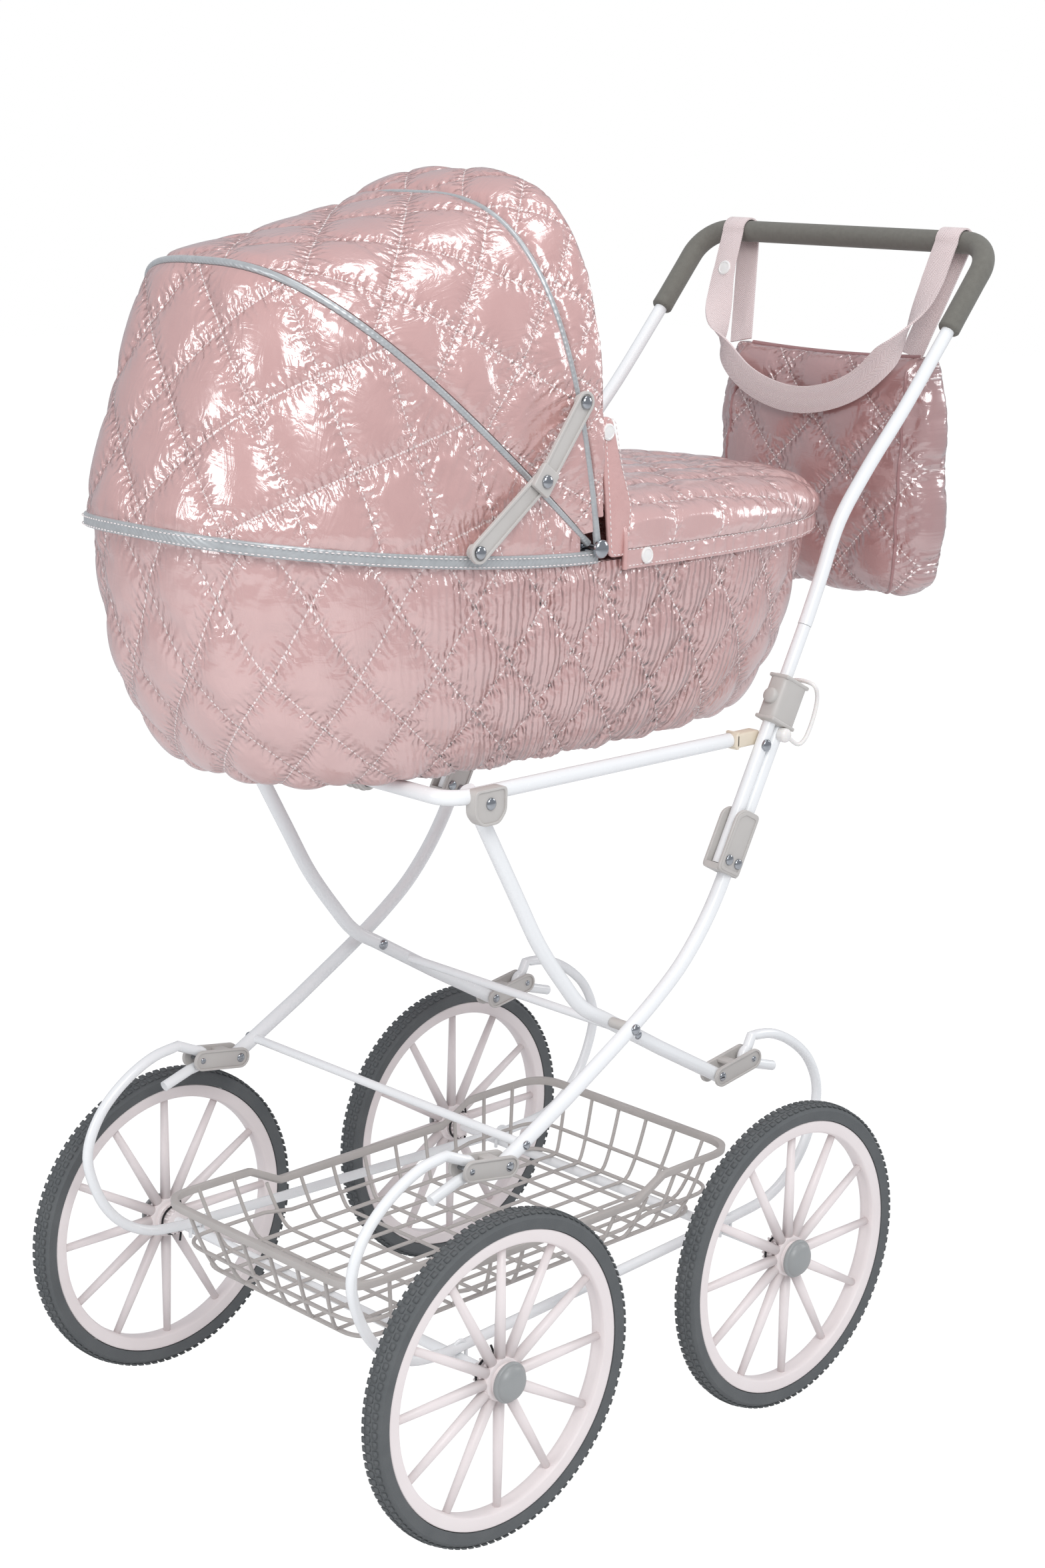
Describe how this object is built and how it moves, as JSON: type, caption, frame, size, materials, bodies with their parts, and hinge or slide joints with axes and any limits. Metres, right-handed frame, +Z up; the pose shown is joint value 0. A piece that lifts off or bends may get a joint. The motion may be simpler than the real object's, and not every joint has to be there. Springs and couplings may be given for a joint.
{
  "type": "doll pram",
  "caption": "Doll pram: spoked wheels on C-shaped springs, folding crossed frame, quilted carrycot with folding hood and apron, basket, and a bag on the handle.",
  "frame": {"origin": "on the floor, under the middle of the pram's length and width", "axes": "+X is the direction of travel, away from the handle; +Y is the pram's left side; +Z is up"},
  "size_m": [0.7391, 0.416, 0.9381],
  "materials": {
    "white_paint": "white gloss paint",
    "wheel_plastic": "off-white moulded plastic",
    "grey_plastic": "light grey moulded plastic",
    "basket_plastic": "warm grey moulded plastic",
    "tyre_rubber": "dark grey solid rubber",
    "grip_foam": "grey foam",
    "pink_quilt": "pearly pink quilted cloth",
    "silver_binding": "silver binding tape",
    "chrome": "polished",
    "beige_plastic": "beige moulded plastic",
    "white_plastic": "white moulded plastic",
    "webbing": "pale pink webbing",
    "mattress_cloth": "pale cloth"
  },
  "bodies": {
    "chassis": {"axle_front": "white_paint", "axle_rear": "white_paint", "spring_left": "white_paint", "spring_right": "white_paint", "basket": "basket_plastic"},
    "wheel_front_left": {"wheel_front_left": "wheel_plastic", "tyre_front_left": "tyre_rubber", "hub_cap_front_left": "grey_plastic"},
    "wheel_front_right": {"wheel_front_right": "wheel_plastic", "tyre_front_right": "tyre_rubber", "hub_cap_front_right": "grey_plastic"},
    "wheel_rear_left": {"wheel_rear_left": "wheel_plastic", "tyre_rear_left": "tyre_rubber", "hub_cap_rear_left": "grey_plastic"},
    "wheel_rear_right": {"wheel_rear_right": "wheel_plastic", "tyre_rear_right": "tyre_rubber", "hub_cap_rear_right": "grey_plastic"},
    "rear_shackles": {"rear_shackle_left": "grey_plastic", "rear_shackle_right": "grey_plastic"},
    "rear_legs": {"rear_leg_left": "white_paint", "rear_leg_right": "white_paint", "rear_cross_bar": "white_paint"},
    "front_legs": {"front_leg_left": "white_paint", "front_leg_right": "white_paint", "front_cross_bar": "white_paint", "handle_clamp_left": "grey_plastic", "handle_clamp_right": "grey_plastic"},
    "front_shackles": {"front_shackle_left": "grey_plastic", "front_shackle_right": "grey_plastic"},
    "handle": {"handle_tube": "white_paint", "handle_grip": "grip_foam", "handle_lower_tube_left": "white_paint", "handle_lower_tube_right": "white_paint"},
    "carrier": {"carrier_frame": "white_paint", "carrier_plug_left": "beige_plastic", "carrier_plug_right": "beige_plastic", "carrier_bracket_left": "grey_plastic", "carrier_bracket_right": "grey_plastic", "carrycot_tub": "pink_quilt", "mattress": "mattress_cloth", "apron": "pink_quilt", "hood_trim": "silver_binding", "hood_pivot_left": "chrome", "hood_pivot_right": "chrome"},
    "latch": {"carrycot_latch": "grey_plastic"},
    "lock_sleeve_left": {"lock_sleeve_left": "grey_plastic"},
    "lock_bail_left": {"lock_bail_left": "white_plastic"},
    "lock_sleeve_right": {"lock_sleeve_right": "grey_plastic"},
    "lock_bail_right": {"lock_bail_right": "white_plastic"},
    "hood_front": {"hood_front_bow": "silver_binding", "hood_back_panel": "pink_quilt"},
    "hood_rear": {"hood_rear_bow": "silver_binding", "hood_visor": "pink_quilt", "hood_top_panel": "pink_quilt"},
    "stay_lower_arms": {"stay_lower_arm_left": "grey_plastic", "stay_lower_arm_right": "grey_plastic"},
    "stay_upper_arms": {"stay_upper_arm_left": "grey_plastic", "stay_upper_arm_right": "grey_plastic"},
    "bag": {"bag": "pink_quilt", "bag_strap": "webbing"}
  },
  "joints": [
    {"name": "frame_fold", "type": "hinge", "parent": "rear_legs", "child": "front_legs", "pos_m": [0.0342, 0, 0.3295], "axis": [0, -1, 0], "range_deg": [0, 36]},
    {"name": "rear_shackle_turn", "type": "hinge", "parent": "chassis", "child": "rear_shackles", "pos_m": [-0.1278, 0, 0.2628], "axis": [0, -1, 0], "range_deg": [-47.58, 0]},
    {"name": "rear_leg_turn", "type": "hinge", "parent": "rear_shackles", "child": "rear_legs", "pos_m": [-0.0911, 0, 0.257], "axis": [0, -1, 0], "range_deg": [0, 29.38]},
    {"name": "front_shackle_turn", "type": "hinge", "parent": "front_legs", "child": "front_shackles", "pos_m": [0.163, 0, 0.2585], "axis": [0, -1, 0], "range_deg": [0, 29.79]},
    {"name": "handle_fold", "type": "hinge", "parent": "front_legs", "child": "handle", "pos_m": [-0.05898, 0, 0.44222], "axis": [0, -1, 0], "range_deg": [-73.64, 0]},
    {"name": "carrier_tilt", "type": "hinge", "parent": "handle", "child": "carrier", "pos_m": [-0.10086, 0, 0.52267], "axis": [0, -1, 0], "range_deg": [0, 51.67]},
    {"name": "wheel_spin_front_left", "type": "hinge", "parent": "chassis", "child": "wheel_front_left", "pos_m": [0.20185, 0.19075, 0.12212], "axis": [0, -1, 0], "continuous": true},
    {"name": "wheel_spin_front_right", "type": "hinge", "parent": "chassis", "child": "wheel_front_right", "pos_m": [0.20185, -0.19075, 0.12212], "axis": [0, -1, 0], "continuous": true},
    {"name": "wheel_spin_rear_left", "type": "hinge", "parent": "chassis", "child": "wheel_rear_left", "pos_m": [-0.10885, 0.19075, 0.12212], "axis": [0, -1, 0], "continuous": true},
    {"name": "wheel_spin_rear_right", "type": "hinge", "parent": "chassis", "child": "wheel_rear_right", "pos_m": [-0.10885, -0.19075, 0.12212], "axis": [0, -1, 0], "continuous": true},
    {"name": "sleeve_slide_left", "type": "slide", "parent": "handle", "child": "lock_sleeve_left", "axis": [-0.4617, 0, 0.887], "range_m": [0, 0.025]},
    {"name": "bail_turn_left", "type": "hinge", "parent": "front_legs", "child": "lock_bail_left", "pos_m": [-0.11679, 0.1505, 0.52881], "axis": [0, -1, 0], "range_deg": [0, 95]},
    {"name": "sleeve_slide_right", "type": "slide", "parent": "handle", "child": "lock_sleeve_right", "axis": [-0.4617, 0, 0.887], "range_m": [0, 0.025]},
    {"name": "bail_turn_right", "type": "hinge", "parent": "front_legs", "child": "lock_bail_right", "pos_m": [-0.11679, -0.1505, 0.52881], "axis": [0, -1, 0], "range_deg": [0, 95]},
    {"name": "latch_turn", "type": "hinge", "parent": "carrier", "child": "latch", "pos_m": [0.2065, 0, 0.5268], "axis": [0, -1, 0], "range_deg": [0, 26]},
    {"name": "hood_fold", "type": "hinge", "parent": "carrier", "child": "hood_front", "pos_m": [0.0752, 0, 0.6862], "axis": [0, -1, 0], "range_deg": [-25, 0], "deforming": ["hood_back_panel"]},
    {"name": "hood_rear_bow_turn", "type": "hinge", "parent": "hood_front", "child": "hood_rear", "pos_m": [0.0752, 0, 0.6862], "axis": [0, -1, 0], "range_deg": [-25.5, 0], "deforming": ["hood_top_panel"]},
    {"name": "stay_lower_turn", "type": "hinge", "parent": "carrier", "child": "stay_lower_arms", "pos_m": [0.1931, 0, 0.695], "axis": [0, -1, 0], "range_deg": [0, 39.9]},
    {"name": "stay_upper_turn", "type": "hinge", "parent": "hood_rear", "child": "stay_upper_arms", "pos_m": [0.0989, 0, 0.7884], "axis": [0, -1, 0], "range_deg": [-35.4, 0]},
    {"name": "bag_swing", "type": "hinge", "parent": "handle", "child": "bag", "pos_m": [-0.3395, 0, 0.8776], "axis": [0, -1, 0], "range_deg": [-35, 0], "deforming": ["bag_strap"]}
  ],
  "couplings": [
    {"joint": "rear_shackle_turn", "follows": "frame_fold", "ratio": -1.3079},
    {"joint": "rear_leg_turn", "follows": "frame_fold", "ratio": 0.8023},
    {"joint": "front_shackle_turn", "follows": "frame_fold", "ratio": 0.8135},
    {"joint": "handle_fold", "follows": "frame_fold", "ratio": -2.0317},
    {"joint": "carrier_tilt", "follows": "frame_fold", "ratio": 1.4215},
    {"joint": "hood_rear_bow_turn", "follows": "hood_fold", "ratio": 1},
    {"joint": "stay_lower_turn", "follows": "hood_fold", "ratio": -1.576},
    {"joint": "stay_upper_turn", "follows": "hood_fold", "ratio": 1.396}
  ]
}
